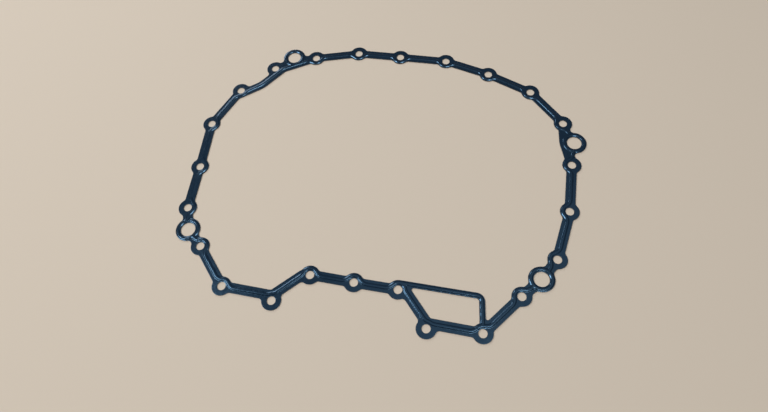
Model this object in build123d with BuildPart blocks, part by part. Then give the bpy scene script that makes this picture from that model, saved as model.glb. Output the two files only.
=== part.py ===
from build123d import *
import os
from math import acos, atan2, cos, degrees, sin

os.makedirs("parts", exist_ok=True)

# A clutch cover gasket: one blanked sheet of rubber-coated steel with a raised sealing bead.
# It lies flat with the bead up. Z = 0 is the face that it rests on, and the origin is under the
# middle of the sheet. All sizes are millimetres.

# The sheet and its outline
SHEET_T = 1.0
LIMB_W = 11.0
FRAME_W = 6.0
BOLT_EAR_D = 20.5
PORT_EAR_D = 27.0
ROOT_R = 4.0
NECK_R = 8.0
LIMB_BEND_R = 8.0
RIGHT_BEND_R = 20.0
SHOULDER_LOW_R = 30.0
SHOULDER_HIGH_R = 12.0
FRAME_BEND_R = 6.0
FRAME_ROOT_R = 2.0

# The holes
BOLT_D = 9.0
PORT_D = 16.0

# The sealing bead: its base, its flat crown, its rise and the flat left between it and a hole
BEAD_W = 4.4
BEAD_CROWN_W = 2.4
BEAD_RISE = 0.6
BEAD_GAP = 0.6

# How the bead swings aside before a bolt hole: a reverse bend of LEAD_R, eased to LEAD_BEND_R
LEAD_R = 16.0
LEAD_BEND_R = 9.0

# Small bolt holes that the middle line of a limb runs through, named by their places
TOP_1 = (-85.0, 172.5)
TOP_2 = (-31.0, 177.0)
TOP_3 = (21.0, 168.5)
TOP_4 = (77.0, 159.0)
TOP_5 = (127.0, 136.0)
TOP_6 = (174.0, 107.0)
RIGHT_1 = (205.5, 61.0)
RIGHT_2 = (207.5, 6.0)
RIGHT_3 = (197.0, -50.5)
RIGHT_4 = (177.0, -104.0)
RIGHT_5 = (137.0, -142.0)
BOTTOM_1 = (96.0, -178.0)
BOTTOM_4 = (-30.5, -124.0)
LEFT_1 = (-167.5, -125.0)
LEFT_2 = (-196.5, -80.0)
LEFT_3 = (-217.5, -33.5)
LEFT_4 = (-211.5, 19.0)
LEFT_5 = (-206.0, 78.0)

# Bolt holes that hang outside a bend of the middle line, each with that bend
BOTTOM_2, BOTTOM_2_BEND = (41.5, -172.5), (42.5, -167.0)
BOTTOM_3, BOTTOM_3_BEND = (14.5, -132.5), (22.0, -134.0)
BOTTOM_5, BOTTOM_5_BEND = (-76.0, -115.0), (-82.0, -113.5)
BOTTOM_6, BOTTOM_6_BEND = (-114.0, -141.5), (-114.0, -136.0)
LEFT_6, LEFT_6_BEND = (-176.0, 126.0), (-181.0, 118.0)

# Large holes: two on the middle line, two outside it, and the last small hole, also outside
PORT_TOP = (-113.0, 174.75)
PORT_RIGHT = (214.25, 34.5)
PORT_LOW = (158.5, -124.5)
PORT_LEFT = (-213.0, -60.0)
TOP_0 = (-136.0, 158.5)

# Bends of the middle line that have no hole, each with its radius
RIGHT_BEND = (203.5, 35.0)
SHOULDER_LOW = (-151.0, 133.5)
SHOULDER_HIGH = (-126.0, 158.0)
OPEN_BENDS = {
    RIGHT_BEND: RIGHT_BEND_R,
    SHOULDER_LOW: SHOULDER_LOW_R,
    SHOULDER_HIGH: SHOULDER_HIGH_R,
}

# The thin frame round the window, from the third bottom hole to the first
FRAME_CORNER = (98.0, -141.0)


def toward(start, end):
    """The unit vector from one point to another."""
    return (Vector(*end) - Vector(*start)).normalized()


def inner(direction):
    """The inner side of a line that runs clockwise round the gasket."""
    return Vector(direction.Y, -direction.X)


def swing(hole, ring_r, before, bend, after):
    """Corners of the bead where it leaves the middle line to pass a hole on its inner side."""
    centre = Vector(*hole)
    tangents = []
    ends = []
    for start, end, sign in ((before, bend, 1), (bend, after, -1)):
        run = toward(start, end)
        side = inner(run)
        offset_in = (Vector(*bend) - centre).dot(side)
        lead = acos((offset_in + LEAD_R) / (ring_r + LEAD_R))
        reach = (ring_r - offset_in * cos(lead)) / sin(lead)
        ends.append(centre + side * offset_in - run * reach * sign)
        tangents.append(side * cos(lead) - run * sin(lead) * sign)
    both = tangents[0] + tangents[1]
    top = centre + both * (ring_r / (1 + tangents[0].dot(tangents[1])))
    return ends[0], top, ends[1]


# Each stop of the middle line, clockwise: its point, then its bolt hole if it has one
STOPS = [
    (TOP_1, TOP_1),
    (TOP_2, TOP_2),
    (TOP_3, TOP_3),
    (TOP_4, TOP_4),
    (TOP_5, TOP_5),
    (TOP_6, TOP_6),
    (RIGHT_1, RIGHT_1),
    (RIGHT_BEND, None),
    (RIGHT_2, RIGHT_2),
    (RIGHT_3, RIGHT_3),
    (RIGHT_4, RIGHT_4),
    (PORT_LOW, None),
    (RIGHT_5, RIGHT_5),
    (BOTTOM_1, BOTTOM_1),
    (BOTTOM_2_BEND, BOTTOM_2),
    (BOTTOM_3_BEND, BOTTOM_3),
    (BOTTOM_4, BOTTOM_4),
    (BOTTOM_5_BEND, BOTTOM_5),
    (BOTTOM_6_BEND, BOTTOM_6),
    (LEFT_1, LEFT_1),
    (LEFT_2, LEFT_2),
    (PORT_LEFT, None),
    (LEFT_3, LEFT_3),
    (LEFT_4, LEFT_4),
    (LEFT_5, LEFT_5),
    (LEFT_6_BEND, LEFT_6),
    (SHOULDER_LOW, None),
    (SHOULDER_HIGH, None),
]
MIDDLE = [point for point, _ in STOPS]
MIDDLE_BENDS = [OPEN_BENDS.get(point, LIMB_BEND_R) for point in MIDDLE]
BOLTS = [hole for _, hole in STOPS if hole] + [TOP_0]

# The bead follows the middle line, apart from one bend where it runs to a large hole instead
BEAD_MIDDLE = [PORT_RIGHT if point == RIGHT_BEND else point for point in MIDDLE]

# Each large hole with the small holes beside it
PORT_GROUPS = {
    PORT_TOP: (TOP_0, TOP_1),
    PORT_RIGHT: (RIGHT_1, RIGHT_2),
    PORT_LOW: (RIGHT_4, RIGHT_5),
    PORT_LEFT: (LEFT_2, LEFT_3),
}
PORTS = list(PORT_GROUPS)

# The middle of the bead's ring round a small and a large hole
bolt_ring_r = BOLT_D / 2 + BEAD_GAP + BEAD_W / 2
port_ring_r = PORT_D / 2 + BEAD_GAP + BEAD_W / 2


def band(line, width):
    """The area within half of a width on either side of a closed line."""
    with BuildSketch() as area:
        with BuildLine():
            add(line)
            offset(amount=width / 2)
        make_face()
        with BuildLine():
            add(line)
            offset(amount=-width / 2)
        make_face(mode=Mode.SUBTRACT)
    return area.sketch


def bead_along(line):
    """The bead's section swept along one line: a flat crown between two sloping flanks."""
    along = line % 0
    across = Vector(0, 0, 1).cross(along)
    slope = degrees(atan2(BEAD_RISE, (BEAD_W - BEAD_CROWN_W) / 2))
    with BuildPart() as bead:
        with BuildSketch(Plane(line @ 0, x_dir=across, z_dir=along)):
            Trapezoid(BEAD_W, BEAD_RISE, slope, align=(Align.CENTER, Align.MIN))
        sweep(path=line)
    return bead.part


# The middle line of the limbs
with BuildLine() as limb_line:
    FilletPolyline(*MIDDLE, radius=MIDDLE_BENDS, close=True)

# The middle line of the bead, which swings in round each bolt hole
bead_corners = []
bead_bends = []
for index, point in enumerate(BEAD_MIDDLE):
    hole = STOPS[index][1]
    if hole:
        before = BEAD_MIDDLE[index - 1]
        after = BEAD_MIDDLE[(index + 1) % len(BEAD_MIDDLE)]
        bead_corners += swing(hole, bolt_ring_r, before, point, after)
        bead_bends += [LEAD_BEND_R, bolt_ring_r, LEAD_BEND_R]
    else:
        bead_corners.append(Vector(*point))
        bead_bends.append(MIDDLE_BENDS[index])
with BuildLine() as bead_line:
    FilletPolyline(*bead_corners, radius=bead_bends, close=True)

# The window's frame leaves the ring of one bolt hole in line with it and ends at another
frame_from = Vector(*BOTTOM_3)
frame_corner = Vector(*FRAME_CORNER)
frame_to = Vector(*BOTTOM_1)
frame_reach = frame_corner - frame_from
frame_lean = degrees(acos(bolt_ring_r / frame_reach.length))
frame_start = frame_from + frame_reach.normalized().rotate(Axis.Z, frame_lean) * bolt_ring_r
frame_bead_end = frame_to + toward(BOTTOM_1, FRAME_CORNER) * bolt_ring_r
with BuildLine() as frame_line:
    FilletPolyline(frame_start, frame_corner, frame_to, radius=FRAME_BEND_R)
with BuildLine() as frame_bead_line:
    FilletPolyline(frame_start, frame_corner, frame_bead_end, radius=FRAME_BEND_R)

# The plan of the sheet before it is pierced: limbs, necks and ears, then the window's frame
with BuildSketch() as blank:
    add(band(limb_line.wires()[0], LIMB_W))
    for port, neighbours in PORT_GROUPS.items():
        with BuildSketch(mode=Mode.PRIVATE) as neck:
            with Locations(port):
                Circle(PORT_EAR_D / 2)
            with Locations(*neighbours):
                Circle(BOLT_EAR_D / 2)
            offset(amount=NECK_R)
            offset(amount=-NECK_R)
        add(neck.sketch)
    with Locations(*BOLTS):
        Circle(BOLT_EAR_D / 2)
    offset(amount=ROOT_R)
    offset(amount=-ROOT_R)
    trace(frame_line.wires()[0], line_width=FRAME_W)
    offset(amount=FRAME_ROOT_R)
    offset(amount=-FRAME_ROOT_R)

# The three kinds of bead, each on its own line
main_bead = bead_along(bead_line.wires()[0])
frame_bead = bead_along(frame_bead_line.wires()[0])
ring_beads = []
for port in PORTS:
    with BuildLine() as ring_line:
        CenterArc(port, port_ring_r, 0, 360)
    ring_beads.append(bead_along(ring_line.wires()[0]))

# All of the bead: the main line stops at the rings, and the frame's bead joins it at both ends
with BuildPart() as bead:
    add(main_bead)
    with BuildSketch():
        with Locations(*PORTS):
            Circle(port_ring_r)
    extrude(amount=BEAD_RISE, mode=Mode.SUBTRACT)
    add(ring_beads)
    add(frame_bead)

with BuildPart() as gasket:
    with BuildSketch():
        add(blank.sketch)
        with Locations(*BOLTS):
            Circle(BOLT_D / 2, mode=Mode.SUBTRACT)
        with Locations(*PORTS):
            Circle(PORT_D / 2, mode=Mode.SUBTRACT)
    extrude(amount=SHEET_T)
    with Locations((0, 0, SHEET_T)):
        add(bead.part)

gasket.part.label = "gasket"
export_step(gasket.part, "parts/gasket.step")
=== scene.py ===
from math import cos, pi, radians, sin

import bpy
import numpy as np
from mathutils import Matrix, Vector
from mathutils.geometry import delaunay_2d_cdt


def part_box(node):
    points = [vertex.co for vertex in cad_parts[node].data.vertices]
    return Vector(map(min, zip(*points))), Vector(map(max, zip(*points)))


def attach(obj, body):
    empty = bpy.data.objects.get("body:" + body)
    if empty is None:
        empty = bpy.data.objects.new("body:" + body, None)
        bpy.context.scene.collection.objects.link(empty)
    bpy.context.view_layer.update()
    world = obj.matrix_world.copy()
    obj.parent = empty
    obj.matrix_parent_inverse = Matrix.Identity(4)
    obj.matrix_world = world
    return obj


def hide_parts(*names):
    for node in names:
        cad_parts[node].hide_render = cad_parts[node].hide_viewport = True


# A clutch cover gasket: one blanked sheet of coated steel with a rounded sealing bead.
# The scene is in metres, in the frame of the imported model. The mesh is laid out in millimetres
# and scaled by MM when it is made.

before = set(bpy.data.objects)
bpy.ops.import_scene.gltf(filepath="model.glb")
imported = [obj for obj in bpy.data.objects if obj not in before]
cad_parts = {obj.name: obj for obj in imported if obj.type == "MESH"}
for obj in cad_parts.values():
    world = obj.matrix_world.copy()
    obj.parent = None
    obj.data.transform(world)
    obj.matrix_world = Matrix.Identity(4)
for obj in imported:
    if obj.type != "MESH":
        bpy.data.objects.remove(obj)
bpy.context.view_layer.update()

MM = 0.001
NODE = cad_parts["gasket"]
CROWN_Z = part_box("gasket")[1].z / MM
SHEET_Z = 1.0
BEAD_RISE = CROWN_Z - SHEET_Z

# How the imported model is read: the decimals to which points are compared, how far a corner of a
# flat face may stray from its height, and how squarely that face looks up or down
MERGE_DECIMALS = 4
LEVEL_SLACK = 1e-3
FACING = 0.5

# The bead's section: a round crown, a straight flank and a hollow foot. Each pair is a distance
# out from the rim of the model's flat crown and the slope there, as a share of the flank's slope.
SECTION = ((-0.6, 0.0), (0.25, 1.0), (0.65, 1.0), (1.15, 0.0))
SECTION_STEPS = 200

# The rows of mesh points that follow the rim of the crown: their distances out from it, the
# longest step along a row, how far a point may stray from its row, and the width of a cell that
# holds no more than one point
BEAD_ROWS = (-0.9, -0.6, -0.35, -0.1, 0.1, 0.28, 0.62, 0.8, 0.97, 1.14, 1.35)
BEAD_STEP = 2.2
ROW_SLACK = 0.04
CELL_W = 3 * ROW_SLACK

# The shallow groove that the pressed bead leaves in the underside, as a share of its rise
GROOVE_SHARE = 0.7

# The rolled edge that blanking leaves, on the upper and the lower side: its radius, its steps and
# the longest step along it
ROLL_R = 0.17
ROLL_STEPS = 4
EDGE_STEP = 3.0

# A row of points further in that keeps the rolled edge tight, and how far the rows of the bead
# stay from it
SUPPORT_IN = 0.34
CLEAR_OF_EDGE = 0.13

# The heights between which the cut edge is bare steel
BARE_FROM = 0.24
BARE_TO = 0.80

# The least squared length of two summed normals, which keeps the mitre at a sharp corner short
MITRE_LIMIT = 0.5

# The least squared length of a segment, the triangulation's tolerance, and how many points are
# measured at a time
SHORTEST = 1e-12
WELD_SLACK = 1e-6
CHUNK = 1000

# The places of the two materials in the mesh, and its attribute that is 1 along the rolled edges
# and 0 on the faces
COATED = 0
BARE = 1
WEAR = "wear"

# Colours
COATING_DARK = (0.0038, 0.011, 0.022, 1.0)
COATING_PALE = (0.0060, 0.015, 0.031, 1.0)
COATING_RUBBED = (0.034, 0.042, 0.050, 1.0)
COATING_SHEEN = (0.34, 0.65, 1.0, 1.0)
STEEL_CLEAN = (0.16, 0.145, 0.13, 1.0)
STEEL_BROWNED = (0.085, 0.06, 0.045, 1.0)
FLOOR_COLOR = (0.58, 0.50, 0.41, 1.0)
SKY_COLOR = (0.92, 0.96, 1.0, 1.0)

# The depths in metres of the coating's peel and of the drag lines in the cut edge
PEEL_DEPTH = 0.00002
DRAG_DEPTH = 0.00003

# The floor reaches this far from the middle, a hair below the gasket
FLOOR_REACH = 6.0
FLOOR_Z = -0.00002

# The even light from all sides
SKY_STRENGTH = 0.12

# How far the lamps stand from the middle of the gasket, in metres
LAMP_AWAY = 3.0

# Each lamp's name, azimuth, elevation, width, level and colour, as add_lamp takes them
LAMPS = (
    ("left_lamp", -86, 55, 1.0, 0.54, (0.98, 0.99, 1.0)),
    ("high_lamp", 125, 75, 0.9, 0.32, (1.0, 0.99, 0.97)),
    ("low_back_lamp", -33, 25, 1.1, 0.30, (0.96, 0.98, 1.0)),
    ("ceiling_lamp", 50, 77, 2.4, 0.07, (1.0, 1.0, 1.0)),
)

# The photograph's view, found by fitting the round holes and ears: where the camera stands, the
# directions to its right and behind it, and its sensor, lens and nearest plane
CAMERA_AT = (0.0329, -0.3055, 0.539)
CAMERA_RIGHT = (0.99819, 0.0, -0.0601)
CAMERA_BACK = (0.05384, -0.44441, 0.8942)
SENSOR_W = 36.0
LENS = 26.02
CLIP_START = 0.01


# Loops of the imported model

def merged(obj):
    """A node's points in millimetres with shared places merged, and each vertex's point."""
    co = np.array([v.co[:] for v in obj.data.vertices]) / MM
    places = np.round(co, MERGE_DECIMALS)
    _, first, index = np.unique(places, axis=0, return_index=True, return_inverse=True)
    return co[first], index.ravel()


def loops_at(height, up):
    """The rims of the model's flat faces at one height, facing up or down, as closed loops."""
    points, index = merged(NODE)
    edges = set()
    for poly in NODE.data.polygons:
        corners = [index[v] for v in poly.vertices]
        level = all(abs(points[c][2] - height) < LEVEL_SLACK for c in corners)
        if level and poly.normal.z * up > FACING:
            edges.update(zip(corners, corners[1:] + corners[:1]))
    after = {a: b for a, b in edges if (b, a) not in edges}
    loops = []
    while after:
        start, here = after.popitem()
        loop = [start]
        while here != start:
            loop.append(here)
            here = after.pop(here)
        loops.append(points[loop][:, :2])
    return loops


def divided(loop, step):
    """The loop with its long runs divided, so that no run is longer than step."""
    rows = []
    for a, b in zip(loop, np.roll(loop, -1, axis=0)):
        count = max(1, int(np.ceil(np.hypot(*(b - a)) / step)))
        rows.append(a + (b - a) * np.arange(count)[:, None] / count)
    return np.vstack(rows)


def side_normals(loop):
    """For each point, the step to a loop that runs one unit to the right, mitred at corners."""
    run = np.roll(loop, -1, axis=0) - loop
    run /= np.hypot(run[:, 0], run[:, 1])[:, None]
    right = np.stack([run[:, 1], -run[:, 0]], axis=1)
    both = right + np.roll(right, 1, axis=0)
    return both * (2 / np.maximum((both ** 2).sum(axis=1), MITRE_LIMIT))[:, None]


OUTLINE = [divided(loop, EDGE_STEP) for loop in loops_at(0, -1)]
CROWN = loops_at(CROWN_Z, 1)


# Distances in the plane

def segments(loops):
    """The starts and the ends of every segment in the loops."""
    starts = np.vstack(loops)
    ends = np.vstack([np.roll(loop, -1, axis=0) for loop in loops])
    return starts, ends


def chunks(points):
    """The indices of the points in groups, so that a measure of all of them fits in memory."""
    return np.array_split(np.arange(len(points)), max(1, len(points) // CHUNK))


def inside(points, loops):
    """True where a point is inside an odd number of loops."""
    starts, ends = segments(loops)
    result = np.zeros(len(points), bool)
    for chunk in chunks(points):
        x, y = points[chunk, 0, None], points[chunk, 1, None]
        crosses = (starts[:, 1] > y) != (ends[:, 1] > y)
        rise = np.where(ends[:, 1] == starts[:, 1], 1.0, ends[:, 1] - starts[:, 1])
        at = starts[:, 0] + (y - starts[:, 1]) * (ends[:, 0] - starts[:, 0]) / rise
        result[chunk] = (crosses & (x < at)).sum(axis=1) % 2 == 1
    return result


def distance(points, loops):
    """The distance from each point to the nearest loop."""
    starts, ends = segments(loops)
    run = ends - starts
    length = np.maximum((run ** 2).sum(axis=1), SHORTEST)
    result = np.zeros(len(points))
    for chunk in chunks(points):
        off = points[chunk][:, None, :] - starts
        along = np.clip((off * run).sum(axis=2) / length, 0, 1)
        gap = off - along[..., None] * run
        result[chunk] = np.sqrt((gap ** 2).sum(axis=2).min(axis=1))
    return result


def out_of_crown(points):
    """The signed distance out from the rim of the bead's crown: negative on the crown."""
    return distance(points, CROWN) * np.where(inside(points, CROWN), -1, 1)


def bead_height(points):
    """How far the bead stands above the sheet: BEAD_RISE on the crown, nothing past the foot."""
    places, slopes = zip(*SECTION)
    at = np.linspace(places[0], places[-1], SECTION_STEPS)
    slope = np.interp(at, places, slopes)
    drop = np.concatenate([[0], np.cumsum((slope[1:] + slope[:-1]) / 2)])
    return BEAD_RISE * (1 - np.interp(out_of_crown(points), at, drop / drop[-1]))


# The mesh

def thinned(points):
    """The points without those that crowd into a cell that already has one."""
    _, first = np.unique(np.round(points / CELL_W), axis=0, return_index=True)
    return points[np.sort(first)]


def bead_points():
    """Rows of points that follow the rim of the crown, where no other stretch of it is nearer."""
    kept = []
    for loop in CROWN:
        rim = divided(loop, BEAD_STEP)
        side = side_normals(rim)
        for row in BEAD_ROWS:
            points = rim + side * row
            true_row = np.abs(out_of_crown(points) - row) < ROW_SLACK
            kept.append(points[true_row])
    points = np.vstack(kept)
    room = inside(points, OUTLINE) & (distance(points, OUTLINE) > SUPPORT_IN + CLEAR_OF_EDGE)
    return thinned(points[room])


def cap(rims, supports, loose):
    """Triangles between the rims: their own points first, then the supports, then loose points."""
    points = [Vector(p) for loop in rims for p in loop]
    edges = []
    base = 0
    for loop in rims:
        edges += [(base + i, base + (i + 1) % len(loop)) for i in range(len(loop))]
        base += len(loop)
    points += [Vector(p) for loop in supports for p in loop]
    points += [Vector(p) for p in loose]
    flat, _, faces, _, _, _ = delaunay_2d_cdt(points, edges, [], 0, WELD_SLACK)
    if len(flat) != len(points):
        raise ValueError(f"the rims cross: {len(points)} points became {len(flat)}")
    flat = np.array([p[:] for p in flat])
    faces = np.array([tuple(f) for f in faces])
    middle = flat[faces].mean(axis=1)
    return flat, faces[inside(middle, rims)]


def edge_rows():
    """(inset, height) of each row round the cut edge, from the top rim down to the bottom rim."""
    turn = [pi / 2 * i / ROLL_STEPS for i in range(ROLL_STEPS + 1)]
    upper = [(ROLL_R * (1 - sin(a)), SHEET_Z - ROLL_R * (1 - cos(a))) for a in turn]
    lower = [(ROLL_R * (1 - sin(a)), ROLL_R * (1 - cos(a))) for a in reversed(turn)]
    return upper + [(0, BARE_TO), (0, BARE_FROM)] + lower


def gasket_mesh():
    """The gasket as one closed mesh: the upper face, the underside, then the walls between."""
    sides = [side_normals(loop) for loop in OUTLINE]
    rims = [loop + side * ROLL_R for loop, side in zip(OUTLINE, sides)]
    supports = [loop + side * SUPPORT_IN for loop, side in zip(OUTLINE, sides)]
    rim_points = sum(map(len, rims))

    # The underside has the points of the upper face again, with its triangles turned over
    flat, flat_faces = cap(rims, supports, bead_points())
    rise = bead_height(flat)
    rise[:rim_points] = 0
    points = [np.column_stack([flat, SHEET_Z + rise]), np.column_stack([flat, GROOVE_SHARE * rise])]
    under_base = len(flat)
    faces = [tuple(f) for f in flat_faces]
    faces += [tuple(under_base + f[::-1]) for f in flat_faces]
    places = [COATED] * len(faces)
    on_rim = np.arange(under_base) < rim_points
    wear = [on_rim, on_rim]

    # The walls share the rims of both faces and add the rows between them
    rows = edge_rows()
    base = 2 * under_base
    rim_base = 0
    for loop, side in zip(OUTLINE, sides):
        count = len(loop)
        starts = [rim_base]
        for inset, height in rows[1:-1]:
            points.append(np.column_stack([loop + side * inset, np.full(count, height)]))
            wear.append(np.ones(count))
            starts.append(base)
            base += count
        starts.append(under_base + rim_base)
        for row, (a, b) in enumerate(zip(starts, starts[1:])):
            bare = BARE_FROM <= rows[row + 1][1] and rows[row][1] <= BARE_TO
            for i in range(count):
                j = (i + 1) % count
                faces.append((a + i, a + j, b + j, b + i))
            places += [BARE if bare else COATED] * count
        rim_base += count

    mesh = bpy.data.meshes.new("gasket_sheet")
    mesh.from_pydata((np.vstack(points) * MM).tolist(), [], [tuple(map(int, f)) for f in faces])
    mesh.polygons.foreach_set("material_index", places)
    mesh.polygons.foreach_set("use_smooth", [True] * len(faces))
    worn = mesh.attributes.new(WEAR, "FLOAT", "POINT")
    worn.data.foreach_set("value", np.concatenate(wear).astype(float))
    mesh.update()
    return mesh


# Materials

def new_material(name):
    """A new material with its node tree and its shader."""
    material = bpy.data.materials.new(name)
    material.use_nodes = True
    tree = material.node_tree
    return material, tree, tree.nodes["Principled BSDF"]


def noise(tree, coords, scale, detail, roughness=0.5):
    """A noise from 0 to 1. A larger scale makes finer grain."""
    node = tree.nodes.new("ShaderNodeTexNoise")
    node.inputs["Scale"].default_value = scale
    node.inputs["Detail"].default_value = detail
    node.inputs["Roughness"].default_value = roughness
    tree.links.new(coords, node.inputs["Vector"])
    return node.outputs["Fac"]


def ramp(tree, fac, first, last):
    """From one colour to another as fac goes between their places. Each is (place, colour)."""
    node = tree.nodes.new("ShaderNodeValToRGB")
    for element, (place, color) in zip(node.color_ramp.elements, (first, last)):
        element.position = place
        element.color = color
    tree.links.new(fac, node.inputs["Fac"])
    return node.outputs["Color"]


def blend(tree, fac, first, second):
    """From the first colour or output to the second as fac goes from 0 to 1."""
    node = tree.nodes.new("ShaderNodeMix")
    node.data_type = "RGBA"
    fac_in, first_in, second_in = node.inputs[0], node.inputs[6], node.inputs[7]
    tree.links.new(fac, fac_in)
    for socket, value in ((first_in, first), (second_in, second)):
        if isinstance(value, tuple):
            socket.default_value = value
        else:
            tree.links.new(value, socket)
    return node.outputs[2]


def grey(value):
    """A grey, also for a ramp or a blend that stands for a plain number."""
    return (value, value, value, 1.0)


def bump(tree, height, strength, depth):
    """Normals that tilt as if the height stood out by depth, in metres."""
    node = tree.nodes.new("ShaderNodeBump")
    node.inputs["Strength"].default_value = strength
    node.inputs["Distance"].default_value = depth
    tree.links.new(height, node.inputs["Height"])
    return node.outputs["Normal"]


def coating():
    """Blue-black rubber coating: a fine peel, broad clouds, dull scuffs and edges rubbed greyer."""
    material, tree, shader = new_material("rubber_coating")
    coords = tree.nodes.new("ShaderNodeTexCoord").outputs["Object"]
    clouds = noise(tree, coords, scale=28, detail=5, roughness=0.6)
    peel = noise(tree, coords, scale=1500, detail=3)
    scuffs = noise(tree, coords, scale=240, detail=6, roughness=0.7)
    patches = noise(tree, coords, scale=170, detail=4, roughness=0.65)

    edge = tree.nodes.new("ShaderNodeAttribute")
    edge.attribute_name = WEAR
    rubbed = tree.nodes.new("ShaderNodeMath")
    rubbed.operation = "MULTIPLY"
    tree.links.new(edge.outputs["Fac"], rubbed.inputs[0])
    tree.links.new(ramp(tree, patches, (0.42, grey(0.15)), (0.62, grey(1))), rubbed.inputs[1])
    wear = rubbed.outputs["Value"]

    color = ramp(tree, clouds, (0.3, COATING_DARK), (0.7, COATING_PALE))
    rough = ramp(tree, scuffs, (0.35, grey(0.18)), (0.75, grey(0.26)))
    tree.links.new(blend(tree, wear, color, COATING_RUBBED), shader.inputs["Base Color"])
    tree.links.new(blend(tree, wear, rough, grey(0.5)), shader.inputs["Roughness"])
    tree.links.new(bump(tree, peel, 0.15, PEEL_DEPTH), shader.inputs["Normal"])
    shader.inputs["Specular IOR Level"].default_value = 0.85
    shader.inputs["Specular Tint"].default_value = COATING_SHEEN
    return material


def cut_steel():
    """The sheared core: grey steel, browned in patches, with fine upright drag lines."""
    material, tree, shader = new_material("cut_steel")
    coords = tree.nodes.new("ShaderNodeTexCoord").outputs["Object"]
    stretch = tree.nodes.new("ShaderNodeMapping")
    stretch.inputs["Scale"].default_value = (1, 1, 0.05)
    tree.links.new(coords, stretch.inputs["Vector"])
    drag = noise(tree, stretch.outputs["Vector"], scale=2600, detail=3)
    patches = noise(tree, coords, scale=90, detail=4)
    color = ramp(tree, patches, (0.35, STEEL_CLEAN), (0.7, STEEL_BROWNED))
    rough = ramp(tree, drag, (0.3, grey(0.38)), (0.7, grey(0.62)))
    tree.links.new(color, shader.inputs["Base Color"])
    tree.links.new(rough, shader.inputs["Roughness"])
    tree.links.new(bump(tree, drag, 0.4, DRAG_DEPTH), shader.inputs["Normal"])
    shader.inputs["Metallic"].default_value = 0.75
    return material


# The scene

def add_gasket():
    """The one visible piece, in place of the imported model's node."""
    mesh = gasket_mesh()
    mesh.materials.append(coating())
    mesh.materials.append(cut_steel())
    piece = bpy.data.objects.new("gasket_sheet", mesh)
    bpy.context.scene.collection.objects.link(piece)
    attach(piece, "root")
    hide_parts("gasket")


def add_floor():
    """A plain pale floor."""
    signs = ((-1, -1), (1, -1), (1, 1), (-1, 1))
    corners = [(x * FLOOR_REACH, y * FLOOR_REACH, FLOOR_Z) for x, y in signs]
    mesh = bpy.data.meshes.new("floor")
    mesh.from_pydata(corners, [], [(0, 1, 2, 3)])
    material, _, shader = new_material("floor")
    shader.inputs["Base Color"].default_value = FLOOR_COLOR
    shader.inputs["Roughness"].default_value = 0.9
    mesh.materials.append(material)
    floor = bpy.data.objects.new("floor", mesh)
    bpy.context.scene.collection.objects.link(floor)


def add_lamp(name, azimuth, elevation, width, level, color):
    """A round lamp LAMP_AWAY from the gasket, aimed at its middle. Azimuth is clockwise from +Y,
    seen from above, and both angles are degrees. Width is metres. Level is how bright the lamp
    alone makes a white face that looks at it."""
    turn, rise = radians(azimuth), radians(elevation)
    place = Vector((sin(turn) * cos(rise), cos(turn) * cos(rise), sin(rise))) * LAMP_AWAY
    data = bpy.data.lights.new(name, "AREA")
    data.shape = "DISK"
    data.size = width
    data.energy = level * pi ** 2 * LAMP_AWAY ** 2
    data.color = color
    lamp = bpy.data.objects.new(name, data)
    lamp.location = place
    lamp.rotation_euler = (-place).to_track_quat("-Z", "Y").to_euler()
    bpy.context.scene.collection.objects.link(lamp)


def add_world():
    """Dim, even light from all sides."""
    world = bpy.data.worlds.new("studio")
    world.use_nodes = True
    sky = world.node_tree.nodes["Background"]
    sky.inputs["Color"].default_value = SKY_COLOR
    sky.inputs["Strength"].default_value = SKY_STRENGTH
    bpy.context.scene.world = world


def add_camera():
    """The camera of the photograph's view, with its three axes made square to each other."""
    data = bpy.data.cameras.new("camera")
    data.sensor_width = SENSOR_W
    data.lens = LENS
    data.clip_start = CLIP_START
    camera = bpy.data.objects.new("camera", data)
    back = Vector(CAMERA_BACK).normalized()
    up = back.cross(Vector(CAMERA_RIGHT)).normalized()
    right = up.cross(back)
    turn = Matrix((right, up, back)).transposed()
    camera.matrix_world = Matrix.Translation(CAMERA_AT) @ turn.to_4x4()
    bpy.context.scene.collection.objects.link(camera)
    bpy.context.scene.camera = camera


add_gasket()
add_floor()
add_world()
for lamp in LAMPS:
    add_lamp(*lamp)
add_camera()

bpy.context.scene.view_settings.view_transform = "Standard"
